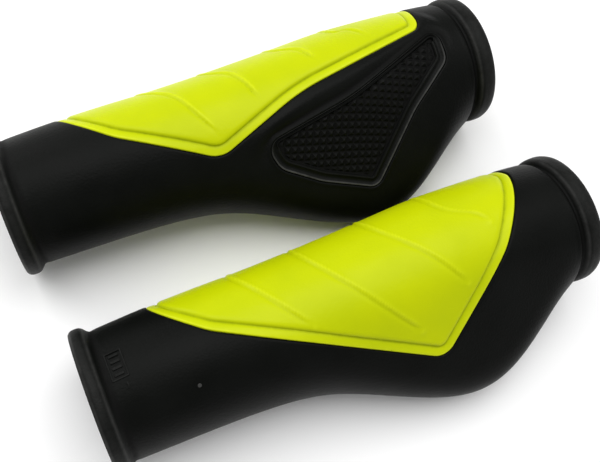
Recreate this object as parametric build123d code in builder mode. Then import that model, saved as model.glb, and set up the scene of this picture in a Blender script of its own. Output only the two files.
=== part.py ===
"""A pair of ergonomic handlebar grips, right and left, lying side by side on a flat surface.

Each grip is drawn once, as the right one, in its own frame: X runs along the bar from the inner end
to the outer end, the palm wing points to -Y, and the side with the wide gel field faces +Z.
The left grip is the mirror image of the right one. Both then lean over onto their wings, so that
each stands on its two end rings and the tip of its wing.
"""

import math
import os

from build123d import *

# ---------------------------------------------------------------- driving dimensions (mm)
grip_length = 130.0
bar_diameter = 22.2
sleeve_wall = 1.6
gel_depth = 2.6

# Covers are measured outwards from the floor of the gel's pocket where it lies on the sleeve.
end_ring_cover = 2.2
ring_groove_cover = 0.1

inner_ring_width = 3.8
outer_ring_width = 5.2
ring_shoulder = 0.8
ring_round = 1.1

sleeve_inset = 0.6
sleeve_flange_width = 1.5
sleeve_flange_height = 1.9
sleeve_rib_height = 0.6
sleeve_rib_width = 2.0
sleeve_rib_count = 6
sleeve_rib_margin = 12.0
bar_lead_in = 0.6
bar_stop_room = 13.0  # from the bar's stop to the grip's outer end
bar_stop_step = 1.1

gel_lip_width = 2.4
gel_lip_sink = 0.35
gel_field_sink = 0.05

pad_depth = 2.4
pad_rim_width = 2.2
pad_rim_sink = 0.2
pad_field_sink = 1.0

plug_head_step = 0.5
plug_head_thickness = 2.6
plug_head_clearance = 0.3
plug_dish_depth = 0.9
plug_dish_taper = 30.0  # degrees
plug_rim_width = 2.2
plug_skirt_length = 9.0
plug_skirt_wall = 1.7
plug_skirt_clearance = 0.2
plug_slit_width = 1.8
plug_slit_count = 4

pair_gap = 1.0
pair_shift = -4.2

# ---------------------------------------------------------------- outer form
# Stations along the bar: distance from the outer end, then the covers of the back edge, of the wing's
# tip and of the barrel. The first one stands a shoulder's width beyond the inner ring.
INNER_STATION = (0.6, 0.6, 0.4)
FORM_STATIONS = [
    (110.0, 1.3, 0.9, 0.8),
    (92.0, 1.3, 1.7, 1.0),
    (78.0, 1.5, 4.1, 1.3),
    (64.0, 2.0, 10.1, 1.7),
    (51.0, 2.6, 16.2, 2.1),
    (39.0, 3.1, 19.1, 2.3),
    (29.0, 2.9, 16.9, 2.2),
    (19.0, 2.6, 10.5, 1.9),
    (11.0, 2.1, 4.7, 1.6),
    (6.0, 1.6, 2.0, 1.3),
]
flank_angle = 71.0  # degrees between the wing's direction and the normal of its flanks

# Outlines drawn on a grip: corners as (distance from the outer end, reach towards the wing from the bar's
# axis), each with its rounding radius. The gel panel wraps over the back edge, where both of its
# outlines run off the grip side by side.
GEL_START = (111.5, -16.6)
GEL_END = (14.0, -16.6)
GEL_WIDE_SIDE = [((101.0, -8.2), 24.0), ((48.5, 20.6), 4.0), ((26.5, -0.6), 30.0)]
GEL_NARROW_SIDE = [((100.5, -7.2), 24.0), ((78.0, 6.4), 6.0), ((54.0, -3.2), 60.0), ((16.4, -10.4), 3.0)]
PAD_OUTLINE = [((67.0, 6.0), 3.0), ((64.4, 13.0), 5.0), ((54.5, 19.4), 20.0), ((39.8, 25.8), 2.2),
               ((25.0, 9.4), 30.0), ((13.4, 0.2), 3.0), ((12.8, -9.2), 1.6), ((42.0, 1.3), 60.0)]
smallest_corner = 0.8

# ---------------------------------------------------------------- derived sizes
bar_radius = bar_diameter / 2
sleeve_radius = bar_radius + sleeve_wall
floor_radius = sleeve_radius + gel_depth
end_ring_radius = floor_radius + end_ring_cover
ring_groove_radius = floor_radius + ring_groove_cover
sleeve_flange_radius = sleeve_radius + sleeve_flange_height
plug_head_radius = sleeve_radius + plug_head_step
plug_bore_radius = bar_radius - bar_stop_step
sleeve_end = grip_length - plug_head_thickness
bar_stop_depth = grip_length - bar_stop_room
proud = 0.6  # a cut starts this far outside the form
far_reach = 2 * max(station[2] for station in FORM_STATIONS)  # farther out than any surface
half_reach = floor_radius + far_reach
cos_flank = math.cos(math.radians(flank_angle))
sin_flank = math.sin(math.radians(flank_angle))

stations = [(inner_ring_width + ring_shoulder, *(floor_radius + cover for cover in INNER_STATION))]
for from_end, *covers in FORM_STATIONS:
    stations.append((grip_length - from_end, *(floor_radius + cover for cover in covers)))


def section_circles(station, offset):
    """Centre and radius of the barrel circle, then of the wing-tip circle, of one section."""
    x, back, wing, barrel = station
    barrel_y = back - barrel
    tip = (barrel - (wing + barrel_y) * cos_flank) / (1 - cos_flank)
    return barrel_y, barrel + offset, tip - wing, tip + offset


def form(offset):
    """The grip's outer form between its end rings, grown by an offset, or shrunk by a negative one."""
    with BuildPart() as shape:
        for station in stations:
            by, br, ty, tr = section_circles(station, offset)
            with BuildSketch(Plane.YZ.offset(station[0])):
                with BuildLine():
                    ThreePointArc((ty - tr * cos_flank, -tr * sin_flank), (ty - tr, 0),
                                  (ty - tr * cos_flank, tr * sin_flank))
                    Line((ty - tr * cos_flank, tr * sin_flank), (by - br * cos_flank, br * sin_flank))
                    ThreePointArc((by - br * cos_flank, br * sin_flank), (by, br), (by + br, 0))
                    ThreePointArc((by + br, 0), (by, -br), (by - br * cos_flank, -br * sin_flank))
                    Line((by - br * cos_flank, -br * sin_flank), (ty - tr * cos_flank, -tr * sin_flank))
                make_face()
        loft()
    return shape.part


def drawn_in(corners, inset):
    """The corners of a counter-clockwise polygon after all its sides move inwards by an inset."""
    moved = []
    for before, here, after in zip(corners[-1:] + corners[:-1], corners, corners[1:] + corners[:1]):
        side_in = (Vector(here) - Vector(before)).normalized()
        side_out = (Vector(after) - Vector(here)).normalized()
        inward = Vector(-side_in.Y - side_out.Y, side_in.X + side_out.X)
        moved.append(Vector(here) + inward * (inset / (1 + side_in.dot(side_out))))
    return moved


def rounded_prism(outline, inset, height):
    """A prism on the plane between the two faces, inside rounded corners drawn in by an inset."""
    corners = drawn_in([(grip_length - from_end, -reach) for (from_end, reach), _ in outline], inset)
    radii = [max(radius - inset, smallest_corner) for _, radius in outline]
    with BuildPart() as prism:
        with BuildSketch():
            with BuildLine():
                FilletPolyline(*corners, radius=radii, close=True)
            make_face()
        extrude(amount=height)
    return prism.part


def gel_prism(inset):
    """Everything inside the gel panel's two outlines, one on each face, drawn in by an inset."""
    off_the_grip = [((GEL_END[0], -half_reach), smallest_corner),
                    ((GEL_START[0], -half_reach), smallest_corner),
                    (GEL_START, smallest_corner)]
    wide = GEL_WIDE_SIDE + [(GEL_END, smallest_corner)] + off_the_grip
    narrow = GEL_NARROW_SIDE + [(GEL_END, smallest_corner)] + off_the_grip
    return rounded_prism(wide, inset, half_reach) + rounded_prism(narrow, inset, -half_reach)


def pad_prism(inset):
    """Everything inside the finger pad's outline on the narrow-gel face, drawn in by an inset."""
    return rounded_prism(PAD_OUTLINE, inset, -half_reach)


# ---------------------------------------------------------------- core sleeve: the hard tube on the bar
with BuildPart() as core_sleeve:
    with BuildSketch(Plane.YZ.offset(sleeve_inset)):
        Circle(sleeve_radius)
    extrude(amount=sleeve_end - sleeve_inset)
    with BuildSketch(Plane.YZ.offset(sleeve_inset)):
        Circle(sleeve_flange_radius)
    extrude(amount=sleeve_flange_width)
    rib_length = sleeve_end - sleeve_inset - 2 * sleeve_rib_margin
    with BuildSketch(Plane.YZ.offset(sleeve_inset + sleeve_rib_margin)):
        with PolarLocations(sleeve_radius, sleeve_rib_count):
            Rectangle(2 * sleeve_rib_height, sleeve_rib_width)
    extrude(amount=rib_length)
sleeve_envelope = core_sleeve.part
with core_sleeve:
    with BuildSketch(Plane.YZ.offset(sleeve_inset)):
        Circle(bar_radius)
    extrude(amount=bar_stop_depth - sleeve_inset, mode=Mode.SUBTRACT)
    with BuildSketch(Plane.YZ.offset(bar_stop_depth)):
        Circle(plug_bore_radius)
    extrude(amount=sleeve_end - bar_stop_depth, mode=Mode.SUBTRACT)
    mouth = core_sleeve.edges().filter_by(GeomType.CIRCLE).filter_by(lambda e: e.radius < sleeve_radius)
    chamfer(mouth.sort_by(Axis.X)[0], length=bar_lead_in)

# ---------------------------------------------------------------- rubber body
with BuildPart() as rubber_body:
    with BuildSketch(Plane.XY) as half_profile:
        with BuildLine():
            Polyline(
                (0, 0), (0, end_ring_radius), (inner_ring_width, end_ring_radius),
                (inner_ring_width, ring_groove_radius),
                (grip_length - outer_ring_width, ring_groove_radius),
                (grip_length - outer_ring_width, end_ring_radius),
                (grip_length, end_ring_radius), (grip_length, 0), (0, 0),
            )
        make_face()
        rims = half_profile.vertices().filter_by(lambda v: v.Y > (ring_groove_radius + end_ring_radius) / 2)
        fillet(rims, radius=ring_round)
    revolve(axis=Axis.X)
    add(form(0))
    add(sleeve_envelope, mode=Mode.SUBTRACT)
    with BuildSketch(Plane.YZ):
        Circle(bar_radius + bar_lead_in)
    extrude(amount=grip_length, mode=Mode.SUBTRACT)
    with BuildSketch(Plane.YZ.offset(sleeve_end)):
        Circle(plug_head_radius + plug_head_clearance)
    extrude(amount=plug_head_thickness, mode=Mode.SUBTRACT)
    add((gel_prism(0) & form(proud)) - form(-gel_depth), mode=Mode.SUBTRACT)
    add((pad_prism(0) & form(proud)) - form(-pad_depth), mode=Mode.SUBTRACT)

# ---------------------------------------------------------------- gel panel
# A stepped border runs round the raised gel field.
with BuildPart() as gel_panel:
    add(gel_prism(0))
    add(form(-gel_lip_sink), mode=Mode.INTERSECT)
    add(gel_prism(gel_lip_width) & form(-gel_field_sink))
    add(form(-gel_depth), mode=Mode.SUBTRACT)

# ---------------------------------------------------------------- finger pad
# A raised rim runs round the sunk field that carries the grip texture.
with BuildPart() as finger_pad:
    add(pad_prism(0))
    add(form(-pad_rim_sink), mode=Mode.INTERSECT)
    add(form(-pad_depth), mode=Mode.SUBTRACT)
    add((pad_prism(pad_rim_width) & form(proud)) - form(-pad_field_sink), mode=Mode.SUBTRACT)

# ---------------------------------------------------------------- end plug
with BuildPart() as end_plug:
    with BuildSketch(Plane.YZ.offset(sleeve_end)):
        Circle(plug_head_radius)
    extrude(amount=plug_head_thickness)
    with BuildSketch(Plane.YZ.offset(grip_length)):
        Circle(plug_head_radius - plug_rim_width)
    extrude(amount=-plug_dish_depth, taper=plug_dish_taper, mode=Mode.SUBTRACT)
    skirt_radius = plug_bore_radius - plug_skirt_clearance
    with BuildSketch(Plane.YZ.offset(sleeve_end)):
        Circle(skirt_radius)
        Circle(skirt_radius - plug_skirt_wall, mode=Mode.SUBTRACT)
        with PolarLocations(skirt_radius, plug_slit_count):
            Rectangle(3 * plug_skirt_wall, plug_slit_width, mode=Mode.SUBTRACT)
    extrude(amount=-plug_skirt_length)

# ---------------------------------------------------------------- the pair at rest
# A grip leans until its wing's tip comes down to the level of its end rings. The left grip lies beside the
# right one, on the side away from the wing.
widest = max(stations, key=lambda station: station[2])
barrel_y, barrel_radius, tip_y, tip_radius = section_circles(widest, 0)
lean = math.asin((end_ring_radius - tip_radius) / -tip_y)
back_reach = max(barrel_y * math.cos(lean) + barrel_radius, end_ring_radius)
wing_reach = tip_radius - tip_y * math.cos(lean)
pair_spacing = back_reach + wing_reach + pair_gap

pieces = {
    "core_sleeve": core_sleeve.part,
    "rubber_body": rubber_body.part,
    "gel_panel": gel_panel.part,
    "finger_pad": finger_pad.part,
    "end_plug": end_plug.part,
}
grip_places = {
    "right": Location((0, 0, end_ring_radius), (math.degrees(lean), 0, 0)),
    "left": Location((pair_shift, pair_spacing, end_ring_radius), (math.degrees(lean), 0, 0)),
}


def on_side(piece, side):
    """A piece of the right grip, or its mirror image for the left one."""
    return piece if side == "right" else piece.mirror(Plane.XY)


# The row's origin is the middle of the pair's box, at the level of the surface that the grips lie on.
with BuildPart() as pair:
    for side, place in grip_places.items():
        with Locations(place):
            add(on_side(rubber_body.part, side))
box = pair.part.bounding_box()
to_middle = Location((-box.center().X, -box.center().Y, 0))

os.makedirs("parts", exist_ok=True)
for side, place in grip_places.items():
    for name, piece in pieces.items():
        with BuildPart() as placed:
            with Locations(to_middle * place):
                add(on_side(piece, side))
        placed.part.label = side + "_" + name
        export_step(placed.part, "parts/" + placed.part.label + ".step")
        print(placed.part.label, len(placed.part.solids()), round(placed.part.volume, 1))

for side, place in grip_places.items():
    inner_end = (to_middle * place).position
    print(side, "bar axis starts at", inner_end, "and the bar goes in", bar_stop_depth, "mm")
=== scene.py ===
# %% [markdown]
# # A pair of handlebar grips
# Two bicycle grips lie side by side on a pale surface: the right one shows the face with the wide gel field,
# the left one, its mirror image, shows the face with the narrow gel field and the textured finger pad.
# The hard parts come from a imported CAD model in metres. The soft parts are modelled here at the same places:
# a rubber body, a gel panel and a finger pad for each grip.
# Every soft part starts flat, as if the grip's skin were peeled off and rolled out like a label, because a
# border, a step or a crease is easy to draw on a flat sheet. The sheet is then wrapped back round the grip.

# %% Load the frame
import math

import bmesh
import bpy
import numpy as np
from mathutils import Euler, Matrix, Vector


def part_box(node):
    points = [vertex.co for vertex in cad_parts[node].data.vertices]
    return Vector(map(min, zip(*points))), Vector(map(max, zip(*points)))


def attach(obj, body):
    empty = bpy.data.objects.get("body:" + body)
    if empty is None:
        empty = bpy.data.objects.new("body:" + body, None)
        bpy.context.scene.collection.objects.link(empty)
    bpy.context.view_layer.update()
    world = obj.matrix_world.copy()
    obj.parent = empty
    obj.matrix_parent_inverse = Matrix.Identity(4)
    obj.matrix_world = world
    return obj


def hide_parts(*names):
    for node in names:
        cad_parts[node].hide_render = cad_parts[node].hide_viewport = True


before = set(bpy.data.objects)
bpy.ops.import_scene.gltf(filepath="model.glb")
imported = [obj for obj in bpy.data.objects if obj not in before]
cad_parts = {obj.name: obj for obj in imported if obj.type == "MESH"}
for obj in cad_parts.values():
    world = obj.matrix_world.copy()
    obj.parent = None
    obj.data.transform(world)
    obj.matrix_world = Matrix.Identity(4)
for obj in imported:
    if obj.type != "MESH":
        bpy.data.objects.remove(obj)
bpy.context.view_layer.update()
MM = 0.001
print("nodes", sorted(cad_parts))

# %% [markdown]
# ## Where each grip lies
# A grip's own frame has X along the bar from the inner end, the palm wing towards -Y and the wide gel field
# towards +Z. The sleeve in the CAD frame gives the bar's axis, and a grip leans so that its wing's tip comes
# down to the level of its end rings. All the lengths below are in millimetres.

# %% Places of the two grips
GRIP_LENGTH = 130.0
RING_RADIUS = 17.5
SLEEVE_INSET = 0.6
FLANK_ANGLE = math.radians(71.0)

# x along the bar, reach of the back edge, reach of the wing, radius of the barrel
STATIONS = np.array([
    (4.6, 15.9, 15.9, 15.7),
    (20.0, 16.6, 16.2, 16.1),
    (38.0, 16.6, 17.0, 16.3),
    (52.0, 16.8, 19.4, 16.6),
    (66.0, 17.3, 25.4, 17.0),
    (79.0, 17.9, 31.5, 17.4),
    (91.0, 18.4, 34.4, 17.6),
    (101.0, 18.2, 32.2, 17.5),
    (111.0, 17.9, 25.8, 17.2),
    (119.0, 17.4, 20.0, 16.9),
    (124.0, 16.9, 17.3, 16.6),
])


def circles(back, wing, barrel):
    """Barrel centre, wing-tip centre and wing-tip radius of a section."""
    slope = math.cos(FLANK_ANGLE)
    barrel_y = back - barrel
    tip = (barrel - (wing + barrel_y) * slope) / (1 - slope)
    return barrel_y, tip - wing, tip


widest = STATIONS[STATIONS[:, 2].argmax()]
_, tip_y, tip_radius = circles(*widest[1:])
lean = math.asin((RING_RADIUS - tip_radius) / -tip_y)


def grip_place(side):
    """The matrix that takes a grip from its own frame, in millimetres, to the row frame, in metres."""
    low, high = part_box(side + "_core_sleeve")
    start = Vector((low.x - SLEEVE_INSET * MM, (low.y + high.y) / 2, (low.z + high.z) / 2))
    place = Matrix.Translation(start) @ Matrix.Rotation(lean, 4, "X") @ Matrix.Scale(MM, 4)
    if side == "left":
        place = place @ Matrix.Scale(-1, 4, (0, 0, 1))
    return place


print("lean", round(math.degrees(lean), 2), "degrees")

# %% [markdown]
# ## Camera, light and floor
# A pair of grips is shown from above and close by, turned a little, so that one wide face and one narrow face
# can be read together. The camera could be aimed with a tracking constraint. Three plain angles and an offset
# from the right grip's inner end are used instead, because they are easy to nudge until outlines agree.

# %% Camera
CAMERA_OFFSET = (9.1, -28.9, 196.1)
CAMERA_TURN = (18.7, -8.2, -23.5)  # degrees
CAMERA_LENS, SENSOR_WIDTH = 49.2, 36.0
NEAR_CLIP = 0.01
camera_data = bpy.data.cameras.new("camera")
camera = bpy.data.objects.new("camera", camera_data)
bpy.context.scene.collection.objects.link(camera)
bpy.context.scene.camera = camera
camera_data.sensor_width = SENSOR_WIDTH
camera_data.lens = CAMERA_LENS
camera_data.clip_start = NEAR_CLIP
right_start = grip_place("right").translation
camera.location = right_start + Vector(CAMERA_OFFSET) * MM
camera.rotation_euler = Euler([math.radians(angle) for angle in CAMERA_TURN])
bpy.context.scene.view_settings.view_transform = "Standard"
print("camera", [round(c, 3) for c in camera.location])

# %% [markdown]
# ## Floor and light
# Matt black rubber shows its form only through what it reflects. A large soft lamp overhead lights the pale
# floor evenly and gives the rubber its broad dull sheen. A low lamp behind and a narrow strip beside the
# outer ends draw thin lines along the rims. The standard view keeps the gel's lime as saturated as it is.

# %% Floor and light
FLOOR_SIZE = 6.0
FLOOR_GREY = 0.96
AMBIENT_STRENGTH = 0.45
bpy.ops.mesh.primitive_plane_add(size=FLOOR_SIZE)
floor = bpy.context.object
floor.name = "floor"
floor_paint = bpy.data.materials.new("floor_paint")
floor_paint.use_nodes = True
floor_shader = floor_paint.node_tree.nodes["Principled BSDF"]
floor_shader.inputs["Base Color"].default_value = (FLOOR_GREY, FLOOR_GREY, FLOOR_GREY, 1)
floor_shader.inputs["Roughness"].default_value = 0.9
floor.data.materials.append(floor_paint)

world = bpy.data.worlds.new("studio")
bpy.context.scene.world = world
world.use_nodes = True
world.node_tree.nodes["Background"].inputs["Color"].default_value = (1, 1, 1, 1)
world.node_tree.nodes["Background"].inputs["Strength"].default_value = AMBIENT_STRENGTH


def lamp(name, place, size, watts):
    """A rectangular soft lamp at a place in metres, facing the middle of the pair."""
    data = bpy.data.lights.new(name, "AREA")
    data.shape = "RECTANGLE"
    data.size, data.size_y = size
    data.energy = watts
    lamp_object = bpy.data.objects.new(name, data)
    bpy.context.scene.collection.objects.link(lamp_object)
    lamp_object.location = place
    lamp_object.rotation_euler = (-Vector(place)).to_track_quat("-Z", "Y").to_euler()


lamp("top_soft", place=(0.05, 0.2, 0.85), size=(0.9, 0.7), watts=6.8)
lamp("back_soft", place=(-0.3, 0.6, 0.35), size=(0.5, 0.15), watts=1.6)
lamp("edge_strip", place=(0.65, -0.1, 0.3), size=(0.5, 0.06), watts=0.5)

# %% [markdown]
# ## The skin of the grip
# A section of the grip is a barrel circle and a smaller circle at the wing's tip, with two flat flanks
# between them. A place on the skin is x along the bar and s, the way round the section from the back edge:
# positive over the wide face, negative over the narrow one. Averaging a few places along s rounds the
# corners where a flank meets an arc, as moulded rubber does.

# %% The skin as a formula


def smooth_curve(knots, values, x):
    """A natural cubic spline through the knots, read at x."""
    count = len(knots)
    gap = np.diff(knots)
    system = np.eye(count)
    right = np.zeros(count)
    for i in range(1, count - 1):
        system[i, i - 1:i + 2] = gap[i - 1], 2 * (gap[i - 1] + gap[i]), gap[i]
        right[i] = 6 * ((values[i + 1] - values[i]) / gap[i] - (values[i] - values[i - 1]) / gap[i - 1])
    bend = np.linalg.solve(system, right)
    i = np.clip(np.searchsorted(knots, x) - 1, 0, count - 2)
    a, b = knots[i + 1] - x, x - knots[i]
    return ((bend[i] * a ** 3 + bend[i + 1] * b ** 3) / (6 * gap[i])
            + (values[i] / gap[i] - bend[i] * gap[i] / 6) * a
            + (values[i + 1] / gap[i] - bend[i + 1] * gap[i] / 6) * b)


def section_at(x):
    """Barrel centre and radius, tip centre and radius, and half the way round, at each x."""
    x = np.clip(x, STATIONS[0, 0], STATIONS[-1, 0])
    back, wing, barrel = (smooth_curve(STATIONS[:, 0], STATIONS[:, k], x) for k in (1, 2, 3))
    barrel_y, tip_y, tip = circles(back, wing, barrel)
    half = barrel * (math.pi - FLANK_ANGLE) + (barrel_y - tip_y) * math.sin(FLANK_ANGLE) + tip * FLANK_ANGLE
    return barrel_y, barrel, tip_y, tip, half


def outline_point(x, s):
    """The point (y, z) of the section at x, a way s round it, and its outward normal."""
    barrel_y, barrel, tip_y, tip, half = section_at(x)
    s = (s + half) % (2 * half) - half
    side, way = np.where(s < 0, -1.0, 1.0), np.abs(s)
    arc_end = barrel * (math.pi - FLANK_ANGLE)
    flat_end = half - tip * FLANK_ANGLE
    turn = np.where(way < arc_end, way / barrel,
                    np.where(way < flat_end, math.pi - FLANK_ANGLE, math.pi - (half - way) / tip))
    on_tip = way > flat_end
    along = np.clip(way - arc_end, 0, flat_end - arc_end)
    y = np.where(on_tip, tip_y, barrel_y) + np.where(on_tip, tip, barrel) * np.cos(turn)
    z = np.where(on_tip, tip, barrel) * np.sin(turn)
    y = y - np.where(on_tip, 0, along * math.sin(FLANK_ANGLE))
    z = z - np.where(on_tip, 0, along * math.cos(FLANK_ANGLE))
    return y, side * z, np.cos(turn), side * np.sin(turn)


SOFTENING = (-3.0, -1.5, 0.0, 1.5, 3.0)
SOFTENING_LOSS = 0.07  # half of what the averaging takes off the barrel's radius


def skin(x, s):
    """Like outline_point, with the corners between arcs and flanks softened."""
    total = sum(np.array(outline_point(x, s + step)) for step in SOFTENING) / len(SOFTENING)
    y, z, normal_y, normal_z = total
    length = np.hypot(normal_y, normal_z)
    normal_y, normal_z = normal_y / length, normal_z / length
    return y + normal_y * SOFTENING_LOSS, z + normal_z * SOFTENING_LOSS, normal_y, normal_z


def way_round(x, reach, face):
    """The way s round the section at x to a point that reaches that far towards the wing."""
    barrel_y, barrel, tip_y, tip, half = section_at(np.asarray(x, float))
    y = -np.asarray(reach, float)
    tangent_y = barrel_y - barrel * math.cos(FLANK_ANGLE)
    on_arc = barrel * np.arccos(np.clip((y - barrel_y) / barrel, -1, 1))
    on_flat = barrel * (math.pi - FLANK_ANGLE) + (tangent_y - y) / math.sin(FLANK_ANGLE)
    return face * np.where(y > tangent_y, on_arc, on_flat)


print("half way round at the widest", round(float(section_at(91.0)[4]), 1), "mm")

# %% [markdown]
# ## Outlines
# The gel panel's border is drawn on each face as a few corners with rounding radii, measured along the bar
# and towards the wing. The wide and the narrow border meet on the back edge, so together they are one closed
# loop on the rolled-out skin. The finger pad has a loop of its own. `drawn_in` moves a loop inwards, or
# outwards with a negative distance, to draw a border of even width beside it.

# %% Rounded outlines on the rolled-out skin
GEL_START, GEL_END = (18.5, -16.6), (115.4, -16.6)
GEL_WIDE_SIDE = [((29.0, -8.4), 24.0), ((81.5, 20.0), 5.0), ((103.0, -1.0), 30.0)]
GEL_NARROW_SIDE = [((29.5, -7.2), 24.0), ((52.0, 5.9), 7.0), ((76.0, -3.8), 60.0), ((113.6, -10.4), 4.0)]
PAD_OUTLINE = [((63.0, 6.0), 3.5), ((65.6, 13.0), 6.0), ((75.5, 19.4), 20.0), ((90.2, 25.8), 3.5),
               ((105.0, 9.4), 30.0), ((116.6, 0.2), 4.0), ((117.2, -9.2), 2.6), ((88.0, 1.3), 60.0)]
WIDE_FACE, NARROW_FACE = 1, -1


def rounded(corners, spacing=0.5):
    """Points along a path of straight runs and arcs. The first and last corner stay sharp."""
    points = [np.array(corners[0][0])]
    for (before, _), (here, radius), (after, _) in zip(corners, corners[1:], corners[2:]):
        here = np.array(here)
        to_before, to_after = np.array(before) - here, np.array(after) - here
        to_before, to_after = to_before / np.linalg.norm(to_before), to_after / np.linalg.norm(to_after)
        half_angle = math.acos(np.clip(to_before @ to_after, -1, 1)) / 2
        centre_way = (to_before + to_after) / np.linalg.norm(to_before + to_after)
        centre = here + centre_way * radius / math.sin(half_angle)
        first = here + to_before * radius / math.tan(half_angle) - centre
        last = here + to_after * radius / math.tan(half_angle) - centre
        for share in np.linspace(0, 1, 2 + int(radius * (math.pi - 2 * half_angle) / spacing)):
            blend = first * (1 - share) + last * share
            points.append(centre + blend / np.linalg.norm(blend) * radius)
    points.append(np.array(corners[-1][0]))
    return np.array(points)


def even(loop, spacing=0.0, count=0):
    """A closed loop with its points moved to even distances along it."""
    closed = np.vstack([loop, loop[:1]])
    way = np.concatenate([[0], np.cumsum(np.linalg.norm(np.diff(closed, axis=0), axis=1))])
    count = count or int(way[-1] / spacing)
    at = np.linspace(0, way[-1], count, endpoint=False)
    return np.column_stack([np.interp(at, way, closed[:, k]) for k in (0, 1)])


def fine(path, spacing=0.15):
    """An open path with points added along its straight runs."""
    steps = np.linalg.norm(np.diff(path, axis=0), axis=1)
    way = np.concatenate([[0], np.cumsum(steps)])
    at = np.unique(np.concatenate([way, np.arange(0, way[-1], spacing)]))
    return np.column_stack([np.interp(at, way, path[:, k]) for k in (0, 1)])


def on_skin(path, face):
    """A path of (x, reach) on one face as (x, s) on the rolled-out skin."""
    return np.column_stack([path[:, 0], way_round(path[:, 0], path[:, 1], face)])


def drawn_in(loop, distance):
    """A counter-clockwise loop moved inwards."""
    along = np.roll(loop, -1, axis=0) - np.roll(loop, 1, axis=0)
    along = along / np.linalg.norm(along, axis=1)[:, None]
    return loop + np.column_stack([-along[:, 1], along[:, 0]]) * distance


LOOP_SPACING = 0.45
wide = rounded([(GEL_START, 0)] + GEL_WIDE_SIDE + [(GEL_END, 0)])
narrow = rounded([(GEL_START, 0)] + GEL_NARROW_SIDE + [(GEL_END, 0)])
gel_loop = even(np.vstack([on_skin(fine(narrow), NARROW_FACE), on_skin(fine(wide), WIDE_FACE)[::-1]]),
                spacing=LOOP_SPACING)
pad_corners = PAD_OUTLINE[-1:] + PAD_OUTLINE + PAD_OUTLINE[:1]
pad_path = rounded(pad_corners)[1:-1]
pad_loop = even(on_skin(fine(np.vstack([pad_path, pad_path[:1]]))[:-1], NARROW_FACE), spacing=LOOP_SPACING)


def turning(loop):
    """Twice the loop's signed area: positive when it runs counter-clockwise."""
    following = np.roll(loop, -1, axis=0)
    return float((loop[:, 0] * following[:, 1] - loop[:, 1] * following[:, 0]).sum())


if turning(gel_loop) < 0:
    gel_loop = gel_loop[::-1]
if turning(pad_loop) < 0:
    pad_loop = pad_loop[::-1]
print("gel loop", len(gel_loop), "points, pad loop", len(pad_loop), "points")

# %% [markdown]
# ## Working flat
# A moulded border could be cut into the curved form with booleans, but its steps would follow the curve
# badly. So a sheet is a bmesh whose x is the way along the bar, whose y is the way round and whose z is the
# height above the skin. Rings of vertices at chosen insets and heights, bridged to each other, draw the
# rounded edge and the stepped border. The face left in the middle is cut into small cells with bisect_plane,
# so that it can bend. `wrap` then carries each vertex to its place on the grip.

# %% Helpers for flat sheets
CUT_TOLERANCE = 1e-4
FLOOR_CELL = 4.0  # the hidden floors need only coarse cells


def add_ring(sheet, loop, height):
    """A closed ring of edges along a loop, at one height."""
    verts = [sheet.verts.new((x, y, height)) for x, y in loop]
    return [sheet.edges.new((a, b)) for a, b in zip(verts, verts[1:] + verts[:1])]


def add_rings(sheet, loop, profile, share=1.0):
    """Rings at each (inset, height) of a profile, bridged one to the next. Returns the rings.

    A share may scale the insets, as one number or as one for each point of the loop."""
    rings = [add_ring(sheet, drawn_in(loop, inset * share), height) for inset, height in profile]
    for outer, inner in zip(rings, rings[1:]):
        bmesh.ops.bridge_loops(sheet, edges=outer + inner)
    return rings


def fill_ring(sheet, ring):
    """One face inside a ring."""
    return bmesh.ops.contextual_create(sheet, geom=ring)["faces"]


def cut_at(sheet, faces, normal, places):
    """Cuts faces with parallel planes, in rising order. A piece already passed isn't tested again.

    The pieces are kept in the order they were made, not in sets, so that each run gives the same mesh."""
    ahead, behind = list(faces), []
    for place in places:
        geometry = dict.fromkeys(ahead)
        geometry.update(dict.fromkeys(e for f in ahead for e in f.edges))
        geometry.update(dict.fromkeys(v for f in ahead for v in f.verts))
        cut = bmesh.ops.bisect_plane(sheet, geom=list(geometry), plane_co=normal * place,
                                     plane_no=normal, dist=CUT_TOLERANCE)
        made = [g for g in cut["geom"] if isinstance(g, bmesh.types.BMFace)]
        ahead = [f for f in made if f.calc_center_median().dot(normal) > place]
        behind += [f for f in made if f.calc_center_median().dot(normal) <= place]
    return behind + ahead


def cut_cells(sheet, faces, cell, turn=0.0):
    """Cuts faces into square cells with two families of planes, turned about Z."""
    for angle in (turn, turn + math.pi / 2):
        normal = Vector((math.cos(angle), math.sin(angle), 0))
        spans = [v.co.dot(normal) for f in faces for v in f.verts]
        places = np.arange(math.ceil(min(spans) / cell), int(max(spans) // cell) + 1) * cell
        faces = cut_at(sheet, faces, normal, places)
    return faces


def wrap(sheet, surface=skin):
    """Carries every vertex of a flat sheet to its place on the grip, in the grip's own frame."""
    flat = np.array([v.co for v in sheet.verts])
    y, z, normal_y, normal_z = surface(flat[:, 0], flat[:, 1])
    placed = np.column_stack([flat[:, 0], y + normal_y * flat[:, 2], z + normal_z * flat[:, 2]])
    for vert, co in zip(sheet.verts, placed):
        vert.co = co


def raise_by(sheet, relief, above=-1.0):
    """Adds a relief, a function of (x, s), to the height of the vertices that lie above a height."""
    verts = [v for v in sheet.verts if v.co.z > above]
    flat = np.array([v.co for v in verts])
    for vert, rise in zip(verts, relief(flat[:, 0], flat[:, 1])):
        vert.co.z += rise


def paint(sheet, name, amount):
    """Keeps an amount from 0 to 1, a function of (x, s, height), as a named attribute of the vertices."""
    layer = sheet.verts.layers.float.new(name)
    flat = np.array([v.co for v in sheet.verts])
    for vert, value in zip(sheet.verts, np.clip(amount(*flat.T), 0, 1)):
        vert[layer] = value


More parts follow.
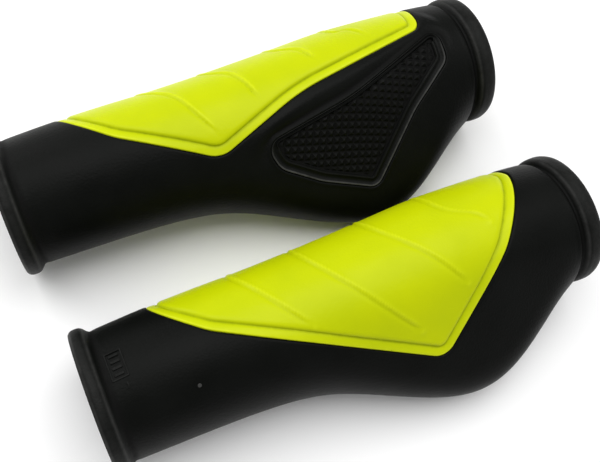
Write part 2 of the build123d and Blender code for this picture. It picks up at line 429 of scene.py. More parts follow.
def distance_to(path, x, s, closed=True):
    """The distance on the rolled-out skin from each (x, s) to a path."""
    start = path if closed else path[:-1]
    step = (np.roll(path, -1, axis=0) if closed else path[1:]) - start
    best = np.full(len(x), 1e9)
    for a, d in zip(start, step):
        share = np.clip(((x - a[0]) * d[0] + (s - a[1]) * d[1]) / (d @ d), 0, 1)
        best = np.minimum(best, np.hypot(x - a[0] - share * d[0], s - a[1] - share * d[1]))
    return best


def inside(loop, x, s):
    """Whether each (x, s) lies inside a closed loop."""
    odd = np.zeros(len(x), bool)
    for a, b in zip(loop, np.roll(loop, -1, axis=0)):
        crosses = (a[1] > s) != (b[1] > s)
        if crosses.any():
            reach = a[0] + (s[crosses] - a[1]) / (b[1] - a[1]) * (b[0] - a[0])
            odd[crosses] ^= x[crosses] < reach
    return odd


def bump(distance, width):
    """A smooth hill, 1 high at distance 0."""
    return np.exp(-(distance / width) ** 2)


def step_up(value, low, high):
    """0 below low, 1 above high and smooth between them."""
    share = np.clip((value - low) / (high - low), 0, 1)
    return share * share * (3 - 2 * share)


SMOOTH_EDGE = math.radians(40)
WELD, SLIVER = 0.012, 0.004
REST_HEIGHT = 0.02 * MM  # a soft part flattens where it rests on the surface


def finish_piece(sheet, name):
    """Makes the wrapped sheet into one piece on each grip, and lets each ride on its grip's body."""
    bmesh.ops.remove_doubles(sheet, verts=sheet.verts, dist=WELD)
    bmesh.ops.dissolve_degenerate(sheet, edges=sheet.edges, dist=SLIVER)
    bmesh.ops.recalc_face_normals(sheet, faces=sheet.faces)
    pieces = {}
    for side in ("right", "left"):
        mesh = bpy.data.meshes.new(side + "_" + name)
        sheet.to_mesh(mesh)
        place = grip_place(side)
        mesh.transform(place)
        if place.determinant() < 0:
            mesh.flip_normals()
        for vert in mesh.vertices:
            vert.co.z = max(vert.co.z, REST_HEIGHT)
        mesh.shade_smooth()
        mesh.set_sharp_from_angle(angle=SMOOTH_EDGE)
        piece = bpy.data.objects.new(side + "_" + name + "_skin", mesh)
        bpy.context.scene.collection.objects.link(piece)
        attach(piece, side + "_grip")
        pieces[side] = piece
        print(piece.name, "lowest point", round(min(v.co.z for v in mesh.vertices) / MM, 2), "mm")
    print(name, len(sheet.verts), "vertices", len(sheet.faces), "faces")
    sheet.free()
    return pieces


# %% [markdown]
# ## Gel panel
# The yellow panel is a soft moulding that fills a pocket of the body and wraps over the back edge. Its border
# is a flat lip with a rounded outer edge. A narrow groove parts the lip from a field that stands a little
# higher. The rings below follow that profile from the pocket's floor to the field.

# %% Gel panel sheet
LIP_WIDTH = 2.5
GEL_CELL = 0.5
# each place is the inset from the outline and the height over the skin
GEL_PROFILE = [
    (0.10, -2.00), (0.10, -0.70), (0.14, -0.42), (0.28, -0.24), (0.50, -0.17), (0.80, -0.18),
    (LIP_WIDTH - 0.75, -0.26), (LIP_WIDTH - 0.35, -0.40),
    (LIP_WIDTH - 0.10, -0.56), (LIP_WIDTH + 0.05, -0.58),
    (LIP_WIDTH + 0.25, -0.38), (LIP_WIDTH + 0.50, -0.14),
    (LIP_WIDTH + 0.85, -0.02), (LIP_WIDTH + 1.4, 0.03),
]
gel_sheet = bmesh.new()
gel_rings = add_rings(gel_sheet, gel_loop, GEL_PROFILE)
gel_field = cut_cells(gel_sheet, fill_ring(gel_sheet, gel_rings[-1]), GEL_CELL)
print("gel field cells", len(gel_field))

# %% [markdown]
# Four shallow creases cross the panel where the palm flexes it. Each one runs over the back edge as a slanted
# U and fades out on both faces. One side of a crease stands slightly proud, which gives it a bright edge, and
# each leg on the wide face ends in a small bump.

# %% Creases
# Each crease is a path of (x, reach, face) from its end on the wide face to its end on the narrow one.
CREASES = [
    [(51.5, -0.4, 1), (45.0, -8.9, 1), (39.5, -15.4, 1),
     (39.0, -16.4, -1), (45.0, -13.6, -1), (49.0, -7.7, -1), (53.0, 0.2, -1)],
    [(76.5, 10.6, 1), (64.0, -4.6, 1), (56.0, -15.0, 1),
     (56.0, -16.4, -1), (61.5, -13.9, -1), (65.5, -4.6, -1)],
    [(90.5, 3.6, 1), (82.0, -8.0, 1), (74.5, -15.9, 1),
     (74.5, -17.0, -1), (80.0, -15.0, -1), (83.0, -9.6, -1)],
    [(101.5, -8.2, 1), (98.0, -11.8, 1), (91.5, -15.9, 1),
     (91.0, -17.2, -1), (95.5, -16.0, -1), (98.5, -12.6, -1)],
]
CREASE_DEPTH, CREASE_WIDTH = 0.32, 0.42
CREASE_RIDGE, RIDGE_OFFSET, RIDGE_WIDTH = 0.2, 0.85, 0.5
CREASE_FADE = 4.0
END_BUMP, END_BUMP_WIDTH = 0.14, 0.9
CROWN_RISE, CROWN_START, CROWN_END = 0.1, LIP_WIDTH + 1.2, 14.0
FIELD_START = LIP_WIDTH + 1.3
crease_paths = []
for crease in CREASES:
    knots = np.array([(x, way_round(x, reach, face)) for x, reach, face in crease], float)
    share = np.arange(len(knots))
    at = np.linspace(0, len(knots) - 1, 40)
    crease_paths.append(np.column_stack([smooth_curve(share, knots[:, k], at) for k in (0, 1)]))


def crease_relief(x, s):
    """Height of the creases on the gel field."""
    height = np.zeros(len(x))
    for path in crease_paths:
        here = distance_to(path, x, s, closed=False)
        beside = distance_to(path + (RIDGE_OFFSET, 0), x, s, closed=False)
        to_end = np.minimum(*(np.hypot(x - path[end, 0], s - path[end, 1]) for end in (0, -1)))
        fade = step_up(to_end, 0, CREASE_FADE)
        height += fade * (CREASE_RIDGE * bump(beside, RIDGE_WIDTH) - CREASE_DEPTH * bump(here, CREASE_WIDTH))
        height += END_BUMP * bump(np.hypot(x - path[0, 0], s - path[0, 1]), END_BUMP_WIDTH)
    return height


def gel_crown(x, s):
    """The field swells a little away from its border."""
    return CROWN_RISE * step_up(distance_to(gel_loop, x, s), CROWN_START, CROWN_END)


def gel_relief(x, s):
    """Creases and crown, on the field alone."""
    far_enough = step_up(distance_to(gel_loop, x, s), FIELD_START, FIELD_START + 1.5)
    return far_enough * crease_relief(x, s) + gel_crown(x, s)


def gel_groove_shade(x, s, height):
    """Painted shade in the groove beside the lip and in the creases."""
    from_edge = distance_to(gel_loop, x, s)
    in_groove = bump(from_edge - LIP_WIDTH, 0.35)
    in_crease = -crease_relief(x, s) / CREASE_DEPTH * step_up(from_edge, FIELD_START, FIELD_START + 1)
    return np.maximum(in_groove, 0.2 * in_crease)


def gel_highlight(x, s, height):
    """A painted highlight along the lip's outer edge and on the crests beside the creases, which are also made
    smoother.
    """
    on_crest = step_up(crease_relief(x, s), 0.05, CREASE_RIDGE)
    return np.maximum(bump(distance_to(gel_loop, x, s) - 0.45, 0.35), 0.8 * on_crest)


raise_by(gel_sheet, gel_relief)
# the gel's painted shade and painted highlights are kept as vertex attributes
paint(gel_sheet, "soil_and_shade", gel_groove_shade)
paint(gel_sheet, "wear_and_highlight", gel_highlight)
gel_floor = fill_ring(gel_sheet, gel_rings[0])
cut_cells(gel_sheet, gel_floor, FLOOR_CELL)
wrap(gel_sheet)
gel_pieces = finish_piece(gel_sheet, "gel_panel")

# %% [markdown]
# ## Finger pad
# The pad on the narrow-gel face gives the fingers hold. Inside its double rim lies a field of small pyramids
# in slanted rows. The field is cut into square cells, each cell is inset, and poke raises its middle.

# %% Finger pad sheet
PAD_PROFILE = [
    (0.08, -1.90), (0.08, -0.45), (0.12, -0.17), (0.26, 0.01), (0.45, 0.03), (0.70, -0.17), (1.00, -0.45),
    (1.35, -0.57), (1.80, -0.55), (2.05, -0.33), (2.25, -0.15), (2.45, -0.17), (2.65, -0.45), (2.80, -0.90),
    (3.00, -1.00),
]
PYRAMID_PITCH, PYRAMID_HEIGHT, PYRAMID_GAP = 1.9, 0.72, 0.12
PYRAMID_TURN = -math.radians(19)
SMALLEST_PYRAMID = 0.3
PAD_UPPER_SIDE = [(58.0, 6.2), (63.0, 4.6), (88.0, 1.3), (117.2, -9.2)]
UPPER_RIM_SHARE = 0.42
upper_side = on_skin(fine(np.array(PAD_UPPER_SIDE), 1.0), NARROW_FACE)
beside_upper = 1 - step_up(distance_to(upper_side, *pad_loop.T, closed=False), 0.8, 3.6)
rim_share = (1 - (1 - UPPER_RIM_SHARE) * beside_upper)[:, None]
pad_sheet = bmesh.new()
pad_rings = add_rings(pad_sheet, pad_loop, PAD_PROFILE, rim_share)
pad_cells = cut_cells(pad_sheet, fill_ring(pad_sheet, pad_rings[-1]), PYRAMID_PITCH, turn=PYRAMID_TURN)
pyramids = [f for f in pad_cells if f.calc_area() > SMALLEST_PYRAMID * PYRAMID_PITCH ** 2]
bmesh.ops.inset_individual(pad_sheet, faces=pyramids, thickness=PYRAMID_GAP, use_even_offset=True)
for cell in pyramids:
    share = math.sqrt(cell.calc_area()) / (PYRAMID_PITCH - 2 * PYRAMID_GAP)
    bmesh.ops.poke(pad_sheet, faces=[cell], offset=PYRAMID_HEIGHT * min(share, 1.0))
cut_cells(pad_sheet, fill_ring(pad_sheet, pad_rings[0]), FLOOR_CELL)
paint(pad_sheet, "soil_and_shade", lambda x, s, height: step_up(-height, 0.7, 1.0))


def pad_highlight(x, s, height):
    """A painted highlight along the outer crest, strongest on its lower side where the light glints, and a
    faint one on the tips of the pyramids.
    """
    lower_side = step_up(distance_to(upper_side, x, s, closed=False), 2.0, 8.0)
    crest = step_up(height, -0.1, 0.02) * (0.2 + 0.8 * lower_side)
    return np.maximum(crest, 0.08 * step_up(height, -0.6, -0.3))


paint(pad_sheet, "wear_and_highlight", pad_highlight)
wrap(pad_sheet)
pad_pieces = finish_piece(pad_sheet, "finger_pad")
print("pyramids", len(pyramids))

# %% [markdown]
# ## Rubber body
# The body is the whole rolled-out skin with a pocket for the panel and one for the pad. Its two long sides
# meet at the wing's tip. At each end a moulded ring takes over from the form. The ring's radius follows a
# curve along the bar, and the section turns into a circle where the ring begins.

# %% Rings at the ends
INNER_RING = np.array([(-0.5, 16.0), (0.0, 16.7), (0.4, 17.15), (1.0, 17.42), (1.9, 17.5), (2.8, 17.38),
                       (3.5, 16.95), (4.1, 16.25), (4.7, 15.8), (5.5, 15.78), (7.0, 15.95), (9.0, 16.0)])
OUTER_RING = np.array([(121.0, 17.0), (122.6, 16.95), (123.5, 16.6), (124.1, 16.05), (124.7, 16.1),
                       (125.2, 16.85), (125.8, 17.36), (126.8, 17.5), (128.4, 17.48), (129.3, 17.2),
                       (129.8, 16.8), (130.0, 16.45), (130.5, 15.8)])
INNER_TURN = (4.6, 7.2)
OUTER_TURN = (122.2, 124.0)


def ring_radius(x):
    """Radius of the ring at either end."""
    near = smooth_curve(INNER_RING[:, 0], INNER_RING[:, 1], np.clip(x, -0.5, 9.0))
    far = smooth_curve(OUTER_RING[:, 0], OUTER_RING[:, 1], np.clip(x, 121.0, 130.5))
    return np.where(x < GRIP_LENGTH / 2, near, far)


def body_surface(x, s):
    """The skin between the rings, and a circle of the ring's radius at the rings."""
    y, z, normal_y, normal_z = skin(x, s)
    angle = math.pi * s / section_at(x)[4]
    form = step_up(x, *INNER_TURN) * (1 - step_up(x, *OUTER_TURN))
    y = form * y + (1 - form) * ring_radius(x) * np.cos(angle)
    z = form * z + (1 - form) * ring_radius(x) * np.sin(angle)
    normal_y = form * normal_y + (1 - form) * np.cos(angle)
    normal_z = form * normal_z + (1 - form) * np.sin(angle)
    length = np.hypot(normal_y, normal_z)
    return y, z, normal_y / length, normal_z / length


# %% [markdown]
# The body's sheet has the grip's whole outline as its border and the two pockets as holes. triangle_fill
# closes the face between them, and planes cut it into cells, close together where a ring's curve turns fast.

# %% Body sheet with its two pockets
BODY_CELL = 1.2
POCKET_PROFILE = [(-0.75, 0.0), (-0.42, -0.02), (-0.2, -0.09), (-0.05, -0.24), (0.0, -0.5), (0.0, -2.1)]
PAD_POCKET_PROFILE = [(-1.2, 0.0), (-0.8, 0.08), (-0.45, 0.16), (-0.2, 0.12), (-0.05, -0.05), (0.0, -0.3),
                      (0.0, -2.0)]
body_sheet = bmesh.new()
edge_x = np.linspace(0, GRIP_LENGTH, 131)
edge_s = section_at(edge_x)[4]
border = np.vstack([np.column_stack([edge_x, -edge_s]), np.column_stack([edge_x, edge_s])[::-1]])
border_ring = add_ring(body_sheet, border, 0.0)
gel_pocket = add_rings(body_sheet, gel_loop, POCKET_PROFILE)
pad_pocket = add_rings(body_sheet, pad_loop, PAD_POCKET_PROFILE)
filled = bmesh.ops.triangle_fill(body_sheet, edges=border_ring + gel_pocket[0] + pad_pocket[0],
                                 use_beauty=False, use_dissolve=False)
body_faces = [g for g in filled["geom"] if isinstance(g, bmesh.types.BMFace)]
print("body faces before cutting", len(body_faces))

# %% Body cells, finer where the rings turn
ALONG_BAR = Vector((1, 0, 0))
RING_CELL = 0.3
ring_cuts = np.concatenate([np.arange(0.3, 6.9, RING_CELL), np.arange(122.2, 129.8, RING_CELL)])
body_faces = cut_at(body_sheet, body_faces, ALONG_BAR, ring_cuts)
body_faces = cut_cells(body_sheet, body_faces, BODY_CELL)
print("body cells", len(body_faces))

# %% [markdown]
# Between the panel and the pad the rubber swells into a soft band and dips again before the pad's rim. The
# relief below measures how far a place is from the panel and from the pad to draw that band.

# %% Relief of the body
BAND_WIDTH_LIMIT = 9.0
BAND_RISE, DIP_DEPTH = 0.45, 0.45
BAND_START, BAND_END = 50, 124


def body_relief(x, s):
    """The swelling between panel and pad."""
    near = (s < 4) & (x > BAND_START) & (x < BAND_END) & ~inside(gel_loop, x, s) & ~inside(pad_loop, x, s)
    rise = np.zeros(len(x))
    from_gel = distance_to(gel_loop, x[near], s[near])
    from_pad = distance_to(pad_loop, x[near], s[near])
    width = from_gel + from_pad
    share = from_gel / np.maximum(width, 0.01)
    strength = np.minimum(width / 6, 1) * (1 - step_up(width, BAND_WIDTH_LIMIT - 1.5, BAND_WIDTH_LIMIT + 3))
    rise[near] = strength * (BAND_RISE * bump(share - 0.36, 0.22) - DIP_DEPTH * bump(share - 0.8, 0.13))
    return rise * step_up(x, BAND_START + 6, BAND_START + 16)


RING_CORNERS = (0.5, 3.3, 125.5, 129.5)


def body_soil(x, s, height):
    """Dust settles in the grooves beside the rings and round the two pockets."""
    beside_rings = np.maximum(bump(x - 5.0, 0.8), bump(x - 124.1, 0.6))
    return np.maximum(beside_rings, step_up(-height, 0.05, 0.4))


def body_wear_and_highlight(x, s, height):
    """Painted highlights on the crests and corners of the rings, and wear rubbed on the wing's tip."""
    on_rings = np.maximum(bump(x - 1.6, 1.3), bump(x - 127.6, 1.8))
    on_corners = sum(bump(x - corner, 0.35) for corner in RING_CORNERS)
    on_tip = step_up(np.abs(s) / section_at(x)[4], 0.86, 1.0) * bump(x - 90, 22)
    return np.maximum(np.maximum(0.18 * on_rings, 0.45 * on_corners), 0.1 * on_tip)


raise_by(body_sheet, body_relief, above=-0.03)
paint(body_sheet, "soil_and_shade", body_soil)
paint(body_sheet, "wear_and_highlight", body_wear_and_highlight)

# %% [markdown]
# The rubber turns in at both ends: at the inner end it leaves the bar's mouth open and takes the sleeve's
# flange, at the outer end it is recessed for the plug's head. The border's edges are extruded ring by ring
# along each path. After wrapping, the two long sides are welded along the wing's tip, and the last two rings
# are bridged to make the bore that the sleeve fills.

# %% Ends of the body, and the bore
for ring in (gel_pocket[-1], pad_pocket[-1]):
    cut_cells(body_sheet, fill_ring(body_sheet, ring), FLOOR_CELL)

SLEEVE_RADIUS, FLANGE_RADIUS, FLANGE_END = 12.7, 14.6, 2.1
MOUTH_RADIUS = 11.7
RECESS_RADIUS, RECESS_DEPTH = 13.5, 2.6
INNER_END = [(0.0, 12.4), (0.35, MOUTH_RADIUS), (SLEEVE_INSET, MOUTH_RADIUS), (SLEEVE_INSET, FLANGE_RADIUS),
             (FLANGE_END, FLANGE_RADIUS), (FLANGE_END, SLEEVE_RADIUS)]
OUTER_END = [(GRIP_LENGTH, 13.9), (GRIP_LENGTH - 0.35, RECESS_RADIUS),
             (GRIP_LENGTH - RECESS_DEPTH, RECESS_RADIUS), (GRIP_LENGTH - RECESS_DEPTH, SLEEVE_RADIUS)]
last_edges = []
for end, path in ((0.0, INNER_END), (GRIP_LENGTH, OUTER_END)):
    edges = [e for e in body_sheet.edges if e.is_boundary and all(abs(v.co.x - end) < 1e-3 for v in e.verts)]
    for x, radius in path:
        grown = bmesh.ops.extrude_edge_only(body_sheet, edges=edges)["geom"]
        edges = [g for g in grown if isinstance(g, bmesh.types.BMEdge)
                 and all(v in grown for v in g.verts)]
        for v in [g for g in grown if isinstance(g, bmesh.types.BMVert)]:
            v.co.x = x
            v.co.z = radius - float(ring_radius(x))
    last_edges.append(len(edges))
print("edges round the two ends of the bore", last_edges)

SEAM_GAP = 0.2
wrap(body_sheet, body_surface)
bmesh.ops.remove_doubles(body_sheet, verts=body_sheet.verts, dist=WELD)
inside_bore = SLEEVE_RADIUS + 0.5
seam = dict.fromkeys(v for e in body_sheet.edges if e.is_boundary for v in e.verts
                     if math.hypot(v.co.y, v.co.z) > inside_bore)
bmesh.ops.remove_doubles(body_sheet, verts=list(seam), dist=SEAM_GAP)
open_edges = [e for e in body_sheet.edges if e.is_boundary]
bore_edges = [e for e in open_edges if all(math.hypot(v.co.y, v.co.z) < inside_bore for v in e.verts)]
print("open edges", len(open_edges), "of which round the bore", len(bore_edges))
bmesh.ops.bridge_loops(body_sheet, edges=bore_edges)
bmesh.ops.dissolve_degenerate(body_sheet, edges=body_sheet.edges, dist=SLIVER)
fins = dict.fromkeys(f for e in body_sheet.edges if e.is_boundary for f in e.link_faces)
bmesh.ops.delete(body_sheet, geom=list(fins), context="FACES")
bmesh.ops.holes_fill(body_sheet, edges=[e for e in body_sheet.edges if e.is_boundary], sides=6)
print("fins taken off", len(fins), "open edges after", sum(e.is_boundary for e in body_sheet.edges),
      "edges of three faces", sum(len(e.link_faces) > 2 for e in body_sheet.edges))
body_pieces = finish_piece(body_sheet, "rubber_body")

# %% [markdown]
# ## Moulded mark
# Near the inner end the mould leaves a small framed panel of plain ribs and, farther along, one round dot
# where the rubber was let in. Each is a low raised shape that stands on the skin.

# %% Mark and dot
# centre along the bar and reach towards the wing, then the sizes of the frame
MARK_CENTRE, MARK_REACH = 7.9, -8.6
MARK_LENGTH, MARK_HEIGHT, MARK_WALL = 4.0, 6.8, 0.4
MARK_RISE, MARK_ROOT = 0.3, -0.2
RIB_COUNT = 4
RIB_LENGTH = MARK_LENGTH - 2 * MARK_WALL - 0.9
PIP_GAP, PIP_LENGTH = 1.8, 1.6
DOT_PLACE, DOT_RADIUS = (23.0, 2.0), 0.5
mark_sheet = bmesh.new()


def box_loop(centre, length, height, radius=0.3):
    """A rounded rectangle on the rolled-out skin."""
    x, s = centre
    ways = ((-1, -1), (1, -1), (1, 1), (-1, 1))
    corners = [((x + a * length / 2, s + b * height / 2), radius) for a, b in ways]
    return even(rounded(corners[-1:] + corners + corners[:1], spacing=0.1)[1:-1], spacing=0.2)


mark_s = float(way_round(MARK_CENTRE, MARK_REACH, WIDE_FACE))
frame_loop = box_loop((MARK_CENTRE, mark_s), MARK_LENGTH, MARK_HEIGHT)
frame_rings = add_rings(mark_sheet, frame_loop, [
    (0.0, MARK_ROOT), (0.02, MARK_RISE - 0.05), (0.08, MARK_RISE), (MARK_WALL - 0.08, MARK_RISE),
    (MARK_WALL - 0.02, MARK_RISE - 0.05), (MARK_WALL, MARK_ROOT)])
rib_pitch = (MARK_HEIGHT - 2 * MARK_WALL) / RIB_COUNT
for rib in range(RIB_COUNT):
    rib_s = mark_s + (rib - (RIB_COUNT - 1) / 2) * rib_pitch
    rib_loop = box_loop((MARK_CENTRE, rib_s), RIB_LENGTH, rib_pitch * 0.45, radius=0.15)
    rib_profile = [(0.0, MARK_ROOT), (0.03, MARK_RISE - 0.05), (0.09, MARK_RISE)]
    rib_rings = add_rings(mark_sheet, rib_loop, rib_profile)
    fill_ring(mark_sheet, rib_rings[-1])
pip_loop = box_loop((MARK_CENTRE + 1.0, mark_s + MARK_HEIGHT / 2 + PIP_GAP), 0.5, PIP_LENGTH, radius=0.2)
pip_profile = [(0.0, MARK_ROOT), (0.03, MARK_RISE - 0.1), (0.12, MARK_RISE - 0.05)]
pip_rings = add_rings(mark_sheet, pip_loop, pip_profile)
fill_ring(mark_sheet, pip_rings[-1])
dot_s = float(way_round(DOT_PLACE[0], DOT_PLACE[1], WIDE_FACE))
dot_loop = box_loop((DOT_PLACE[0], dot_s), 2 * DOT_RADIUS, 2 * DOT_RADIUS, radius=DOT_RADIUS * 0.98)
dot_rings = add_rings(mark_sheet, dot_loop, [(0.0, MARK_ROOT), (0.04, 0.05), (0.14, 0.09)])
fill_ring(mark_sheet, dot_rings[-1])


def mark_brightening(x, s, height):
    """The dot is painted light grey, and the tops of the ribs very slightly lighter."""
    return np.where(x > MARK_CENTRE + MARK_LENGTH, 0.9, 0.1 * step_up(height, 0, MARK_RISE))


paint(mark_sheet, "soil_and_shade", lambda x, s, height: 0 * x)
paint(mark_sheet, "wear_and_highlight", mark_brightening)
wrap(mark_sheet)
mark_pieces = finish_piece(mark_sheet, "mark")

# %% [markdown]
# ## Which CAD nodes the new pieces stand for
# The modelled skins replace the plain CAD solids. The core sleeves and the end plugs keep their CAD meshes.

# %% Replace the plain solids
for side in ("right", "left"):
    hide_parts(side + "_gel_panel")
    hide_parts(side + "_finger_pad")
    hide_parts(side + "_rubber_body")

# %% [markdown]
# ## Materials
# The rubber is an almost black moulding with a fine matt grain: the crests and corners of the rings and the
# pad's outer crest carry painted highlights and are smoother, the wing's tip is a little greyer with wear, and
# grooves hold dull dust. The gel is a lime silicone with a satin skin and faint cloudy mottling, with painted
# highlights on its lip's edge and crease crests and painted shade in its groove and creases. The sleeve and
# the plug are plain black plastic with faint marks along the bar. Grain, and wear with painted light, are node
# groups that every material uses with its own values. The masks for wear with painted highlights and for dust
# with painted shade are the vertex attributes painted on the sheets above.

# %% Node group helpers


def new_group(name, inputs, outputs):
    """A node group with float or colour sockets. Returns it with its input and output nodes."""
    group = bpy.data.node_groups.new(name, "ShaderNodeTree")
    for in_out, sockets in (("INPUT", inputs), ("OUTPUT", outputs)):
        for socket, kind in sockets:
            group.interface.new_socket(name=socket, in_out=in_out, socket_type="NodeSocket" + kind)
    return group, group.nodes.new("NodeGroupInput"), group.nodes.new("NodeGroupOutput")


def noise(tree, coordinates, scale, detail, roughness=0.5):
    """A noise texture of a size given in waves to the metre. Returns its value from about 0 to 1."""
    node = tree.nodes.new("ShaderNodeTexNoise")
    node.inputs["Detail"].default_value = detail
    node.inputs["Roughness"].default_value = roughness
    tree.links.new(coordinates, node.inputs["Vector"])
    if isinstance(scale, (int, float)):
        node.inputs["Scale"].default_value = scale
    else:
        tree.links.new(scale, node.inputs["Scale"])
    return node.outputs["Fac"]


def calculate(tree, operation, *values):
    """A Math node. Each value is a number or a socket."""
    node = tree.nodes.new("ShaderNodeMath")
    node.operation = operation
    for socket, value in zip(node.inputs, values):
        if isinstance(value, (int, float)):
            socket.default_value = value
        else:
            tree.links.new(value, socket)
    return node.outputs["Value"]


def mixed(tree, share, first, second):
    """A blend of two colours by a share."""
    node = tree.nodes.new("ShaderNodeMix")
    node.data_type = "RGBA"
    for socket, value in zip((node.inputs["Factor"], node.inputs[6], node.inputs[7]), (share, first, second)):
        if isinstance(value, (int, float, tuple)):
            socket.default_value = value
        else:
            tree.links.new(value, socket)
    return node.outputs[2]


def attribute(tree, name):
    """A painted vertex attribute as a value."""
    node = tree.nodes.new("ShaderNodeAttribute")
    node.attribute_name = name
    return node.outputs["Fac"]


# %% [markdown]
# The moulds are blasted, so rubber and gel carry a fine grain over a cloudy unevenness. Noise alone looks
# like dust, so the distance to the nearest cell of a Voronoi texture adds round pebbles to the height.

# %% Grain group
grain, grain_in, grain_out = new_group(
    "moulded_grain",
    [("Coordinates", "Vector"), ("Fineness", "Float"), ("Cloud Fineness", "Float")],
    [("Height", "Float"), ("Clouds", "Float")])
fine_noise = noise(grain, grain_in.outputs["Coordinates"], grain_in.outputs["Fineness"], 3, 0.6)
cells = grain.nodes.new("ShaderNodeTexVoronoi")
grain.links.new(grain_in.outputs["Coordinates"], cells.inputs["Vector"])
grain.links.new(calculate(grain, "MULTIPLY", grain_in.outputs["Fineness"], 0.6), cells.inputs["Scale"])
pebbles = calculate(grain, "MULTIPLY", cells.outputs["Distance"], 0.5)
grain.links.new(calculate(grain, "ADD", fine_noise, pebbles), grain_out.inputs["Height"])
grain.links.new(noise(grain, grain_in.outputs["Coordinates"], grain_in.outputs["Cloud Fineness"], 4, 0.55),
                grain_out.inputs["Clouds"])

# %% [markdown]
# Wear with painted highlights, and dust with painted shade, could be painted on an image. Here they are two
# vertex attributes, broken up by noise so that no edge of them is straight, and a few small dark specks where
# grit has stuck to the soft gel.

# %% Wear, dust and painted light group
wear_and_light, wear_and_light_in, wear_and_light_out = new_group(
    "wear_soil_and_painted_light",
    [("Coordinates", "Vector"), ("Color", "Color"), ("Cloud Color", "Color"), ("Worn And Highlight Color", "Color"),
     ("Soil And Shade Color", "Color"), ("Clouds", "Float"), ("Roughness", "Float"), ("Worn Roughness", "Float"),
     ("Soil Roughness", "Float"), ("Speck Size", "Float")],
    [("Color", "Color"), ("Roughness", "Float")])
PATCH_FINENESS, SPECK_SPREAD = 420.0, 110.0
patches = noise(wear_and_light, wear_and_light_in.outputs["Coordinates"], PATCH_FINENESS, 5, 0.65)
broken = calculate(wear_and_light, "MULTIPLY", patches, 1.6)
wear_and_highlight_mask = calculate(wear_and_light, "MULTIPLY", attribute(wear_and_light, "wear_and_highlight"), broken)
specks = wear_and_light.nodes.new("ShaderNodeTexVoronoi")
specks.inputs["Scale"].default_value = SPECK_SPREAD
wear_and_light.links.new(wear_and_light_in.outputs["Coordinates"], specks.inputs["Vector"])
speck_kind = wear_and_light.nodes.new("ShaderNodeSeparateColor")
wear_and_light.links.new(specks.outputs["Color"], speck_kind.inputs["Color"])
is_speck = calculate(wear_and_light, "LESS_THAN", specks.outputs["Distance"],
                     calculate(wear_and_light, "MULTIPLY", speck_kind.outputs["Red"], wear_and_light_in.outputs["Speck Size"]))
soil_and_shade_share = calculate(wear_and_light, "MULTIPLY", attribute(wear_and_light, "soil_and_shade"), broken)
soil_and_shade_mask = calculate(wear_and_light, "MAXIMUM", soil_and_shade_share, calculate(wear_and_light, "MULTIPLY", is_speck, 0.8))
cloud_share = wear_and_light.nodes.new("ShaderNodeMapRange")
for socket, value in (("From Min", 0.35), ("From Max", 0.7)):
    cloud_share.inputs[socket].default_value = value
wear_and_light.links.new(wear_and_light_in.outputs["Clouds"], cloud_share.inputs["Value"])
clouded = mixed(wear_and_light, cloud_share.outputs["Result"], wear_and_light_in.outputs["Color"], wear_and_light_in.outputs["Cloud Color"])
rubbed_and_highlit = mixed(wear_and_light, wear_and_highlight_mask, clouded, wear_and_light_in.outputs["Worn And Highlight Color"])
wear_and_light.links.new(mixed(wear_and_light, soil_and_shade_mask, rubbed_and_highlit, wear_and_light_in.outputs["Soil And Shade Color"]), wear_and_light_out.inputs["Color"])


def toward(tree, share, first, second):
    """A blend of two values by a share."""
    return calculate(tree, "MULTIPLY_ADD", share, calculate(tree, "SUBTRACT", second, first), first)


cloudy = calculate(wear_and_light, "MULTIPLY_ADD", calculate(wear_and_light, "SUBTRACT", wear_and_light_in.outputs["Clouds"], 0.5), 0.25,
                   wear_and_light_in.outputs["Roughness"])
smoothed = toward(wear_and_light, wear_and_highlight_mask, cloudy, wear_and_light_in.outputs["Worn Roughness"])
wear_and_light.links.new(toward(wear_and_light, soil_and_shade_mask, smoothed, wear_and_light_in.outputs["Soil Roughness"]),
               wear_and_light_out.inputs["Roughness"])

# %% [markdown]
# Every finish is one Principled shader with the two groups before it. The rubber reflects little, which is
# what makes it look so deep a black. The plastic's grain is stretched along the bar, as on a drawn tube.

# %% The materials


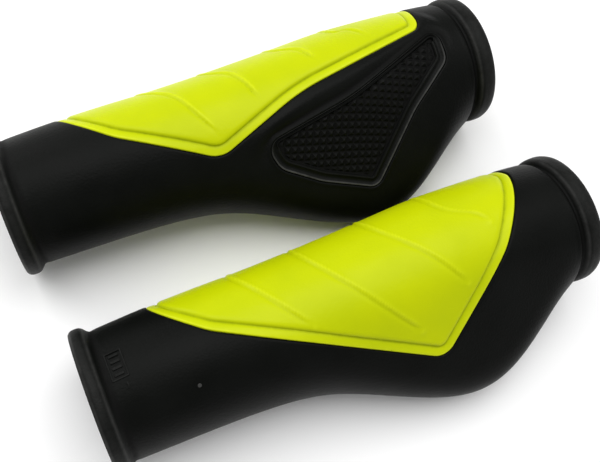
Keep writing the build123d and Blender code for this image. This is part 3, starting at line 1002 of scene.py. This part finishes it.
def new_material(name, colors, roughnesses, fineness, cloud_fineness, bump_depth, specular, speck_size,
                 mapping=None):
    """A material of grain, wear and painted light.

    The four colours are plain, clouded, worn with painted highlight, and soiled with painted shade, and the
    roughnesses plain, worn and soiled."""
    material = bpy.data.materials.new(name)
    material.use_nodes = True
    tree = material.node_tree
    shader = tree.nodes["Principled BSDF"]
    coordinates = tree.nodes.new("ShaderNodeTexCoord").outputs["Object"]
    if mapping:
        mapped = tree.nodes.new("ShaderNodeMapping")
        mapped.inputs["Scale"].default_value = mapping
        tree.links.new(coordinates, mapped.inputs["Vector"])
        coordinates = mapped.outputs["Vector"]
    texture = tree.nodes.new("ShaderNodeGroup")
    texture.node_tree = grain
    texture.inputs["Fineness"].default_value = fineness
    texture.inputs["Cloud Fineness"].default_value = cloud_fineness
    tree.links.new(coordinates, texture.inputs["Coordinates"])
    surface = tree.nodes.new("ShaderNodeGroup")
    surface.node_tree = wear_and_light
    for socket, value in zip(("Color", "Cloud Color", "Worn And Highlight Color", "Soil And Shade Color"), colors):
        surface.inputs[socket].default_value = (*value, 1)
    for socket, value in zip(("Roughness", "Worn Roughness", "Soil Roughness"), roughnesses):
        surface.inputs[socket].default_value = value
    surface.inputs["Speck Size"].default_value = speck_size
    tree.links.new(coordinates, surface.inputs["Coordinates"])
    tree.links.new(texture.outputs["Clouds"], surface.inputs["Clouds"])
    tree.links.new(surface.outputs["Color"], shader.inputs["Base Color"])
    tree.links.new(surface.outputs["Roughness"], shader.inputs["Roughness"])
    relief = tree.nodes.new("ShaderNodeBump")
    relief.inputs["Strength"].default_value = 1.0
    relief.inputs["Distance"].default_value = bump_depth * MM
    tree.links.new(texture.outputs["Height"], relief.inputs["Height"])
    tree.links.new(relief.outputs["Normal"], shader.inputs["Normal"])
    shader.inputs["Specular IOR Level"].default_value = specular
    return material


rubber = new_material(
    "black_rubber",
    # worn colour: painted highlight on ring and pad crests, and wear on the wing's tip; soil colour: light
    # dust
    ((0.0015, 0.0019, 0.0014), (0.0027, 0.0032, 0.0026), (0.060, 0.060, 0.058), (0.003, 0.003, 0.0028)),
    (0.48, 0.36, 0.7),
    fineness=2600, cloud_fineness=90, bump_depth=0.06, specular=0.075, speck_size=0.012)
gel = new_material(
    "lime_gel",
    # worn colour: painted highlight on the lip's edge and crease crests; soil colour: painted shade in groove
    # and creases, and dark grit specks
    ((0.500, 0.575, 0.001), (0.455, 0.535, 0.001), (0.60, 0.68, 0.01), (0.30, 0.36, 0.001)),
    (0.36, 0.28, 0.55),
    fineness=1800, cloud_fineness=60, bump_depth=0.03, specular=0.08, speck_size=0.03)
plastic = new_material(
    "black_plastic",
    ((0.006, 0.006, 0.006), (0.010, 0.010, 0.010), (0.02, 0.02, 0.02), (0.01, 0.01, 0.01)),
    (0.42, 0.35, 0.6),
    fineness=1500, cloud_fineness=140, bump_depth=0.03, specular=0.2, speck_size=0.0, mapping=(0.08, 1, 1))
for side in ("right", "left"):
    gel_pieces[side].data.materials.append(gel)
    for pieces in (pad_pieces, body_pieces, mark_pieces):
        pieces[side].data.materials.append(rubber)
    for node in ("core_sleeve", "end_plug"):
        node_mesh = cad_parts[side + "_" + node].data
        node_mesh.materials.clear()
        node_mesh.materials.append(plastic)
